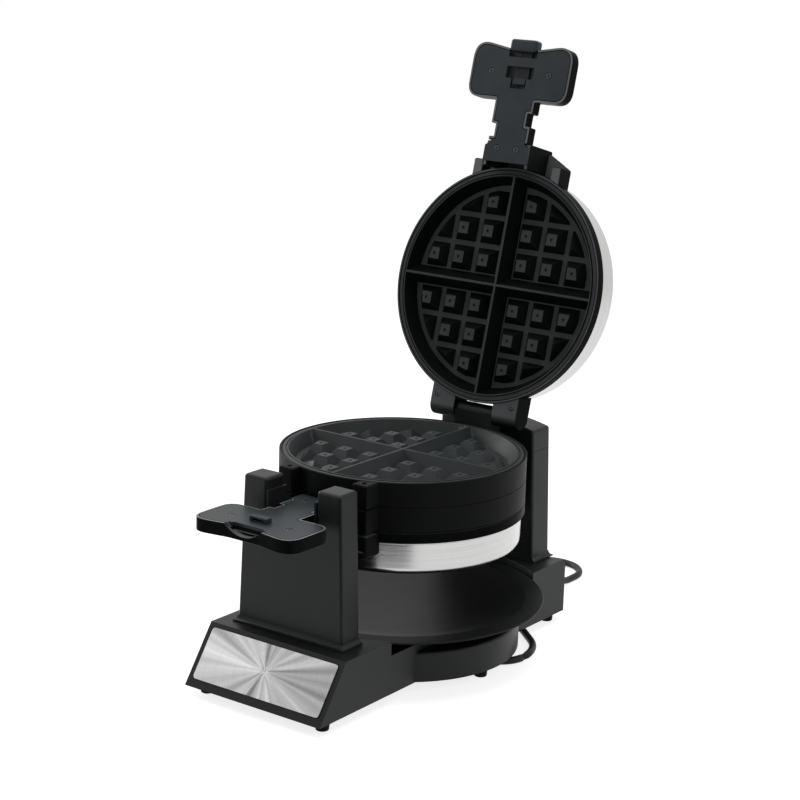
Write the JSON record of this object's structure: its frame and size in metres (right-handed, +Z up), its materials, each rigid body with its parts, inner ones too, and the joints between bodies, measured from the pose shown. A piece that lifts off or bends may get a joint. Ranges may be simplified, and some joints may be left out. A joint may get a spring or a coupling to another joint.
{
  "type": "rotating double waffle maker",
  "caption": "Countertop cooker with round waffle plates in a turning middle housing between two columns, hinged steel lids with handles, a latch and a round drip tray.",
  "frame": {"origin": "on the floor, under the middle of the bounding box of everything except the cord, its coil, its plug and its strain relief", "axes": "+Z up, +X to the right of a user who stands at -Y in front of the handles; the turning axis runs along Y"},
  "size_m": [0.3119, 0.5037, 0.5213],
  "materials": {
    "black_plastic": "satin black moulded plastic",
    "handle_plastic": "satin blue-grey black plastic",
    "bezel_black": "semi-gloss black",
    "nonstick": "cast, dark non-stick coating",
    "tray_enamel": "satin dark coating",
    "brushed_steel": "brushed",
    "bright_steel": "bright turned",
    "element_steel": "heat-darkened",
    "aluminium_sheet": "plain sheet",
    "bearing_nylon": "plain",
    "rubber": "matte",
    "cord_black": "matte flexible sheath"
  },
  "bodies": {
    "base": {"base_housing": "black_plastic", "bottom_cover": "black_plastic", "face_plate": "brushed_steel", "front_left_foot": "rubber", "front_right_foot": "rubber", "middle_left_foot": "rubber", "middle_right_foot": "rubber", "rear_left_foot": "rubber", "rear_right_foot": "rubber", "front_column": "black_plastic", "yoke_liner": "bearing_nylon", "rear_column": "black_plastic", "rear_cap": "black_plastic", "rear_bush": "bearing_nylon", "strain_relief": "rubber", "power_cord": "cord_black", "cord_coil": "cord_black", "plug": "cord_black"},
    "rotor": {"upper_middle_housing": "black_plastic", "lower_middle_housing": "black_plastic", "upper_middle_plate": "nonstick", "lower_middle_plate": "nonstick", "middle_heater": "element_steel", "hinge_block": "black_plastic", "upper_hinge_pin": "bright_steel", "lower_hinge_pin": "bright_steel", "rotor_shaft": "bright_steel", "shaft_collar": "bright_steel"},
    "upper_lid": {"upper_lid_shell": "brushed_steel", "upper_lid_ring": "bezel_black", "upper_lid_plate": "nonstick", "upper_lid_heater": "element_steel", "upper_lid_reflector": "aluminium_sheet", "upper_lid_thermostat": "bright_steel", "upper_lid_bracket": "black_plastic", "upper_hinge_screw_1": "bright_steel", "upper_hinge_screw_2": "bright_steel", "upper_handle_screw_1": "bright_steel", "upper_handle_screw_2": "bright_steel", "upper_handle_screw_3": "bright_steel", "upper_handle_screw_4": "bright_steel", "upper_handle_shell": "handle_plastic", "upper_handle_cover": "handle_plastic"},
    "latch": {"upper_latch": "handle_plastic"},
    "lower_lid": {"lower_lid_shell": "brushed_steel", "lower_lid_ring": "bezel_black", "lower_lid_plate": "nonstick", "lower_lid_heater": "element_steel", "lower_lid_reflector": "aluminium_sheet", "lower_lid_thermostat": "bright_steel", "lower_lid_bracket": "black_plastic", "lower_hinge_screw_1": "bright_steel", "lower_hinge_screw_2": "bright_steel", "lower_handle_screw_1": "bright_steel", "lower_handle_screw_2": "bright_steel", "lower_handle_screw_3": "bright_steel", "lower_handle_screw_4": "bright_steel", "lower_handle_shell": "handle_plastic", "lower_handle_cover": "handle_plastic"},
    "tray": {"drip_tray": "tray_enamel"}
  },
  "joints": [
    {"name": "rotor_turn", "type": "hinge", "parent": "base", "child": "rotor", "pos_m": [0, 0.0109, 0.1607], "axis": [0, 1, 0], "range_deg": [-12, 12]},
    {"name": "upper_lid_hinge", "type": "hinge", "parent": "rotor", "child": "upper_lid", "pos_m": [0, 0.124, 0.1935], "axis": [1, 0, 0], "range_deg": [0, 104.8]},
    {"name": "lower_lid_hinge", "type": "hinge", "parent": "rotor", "child": "lower_lid", "pos_m": [0, 0.124, 0.1279], "axis": [1, 0, 0], "range_deg": [0, 0.15]},
    {"name": "latch_slide", "type": "slide", "parent": "upper_lid", "child": "latch", "axis": [0, -0.2554, -0.9668], "range_m": [0, 0.0035], "stiffness_N_per_m": 1200, "springref_m": -0.002},
    {"name": "tray_lift", "type": "slide", "parent": "base", "child": "tray", "axis": [0, 0, 1], "range_m": [0, 0.02]}
  ]
}
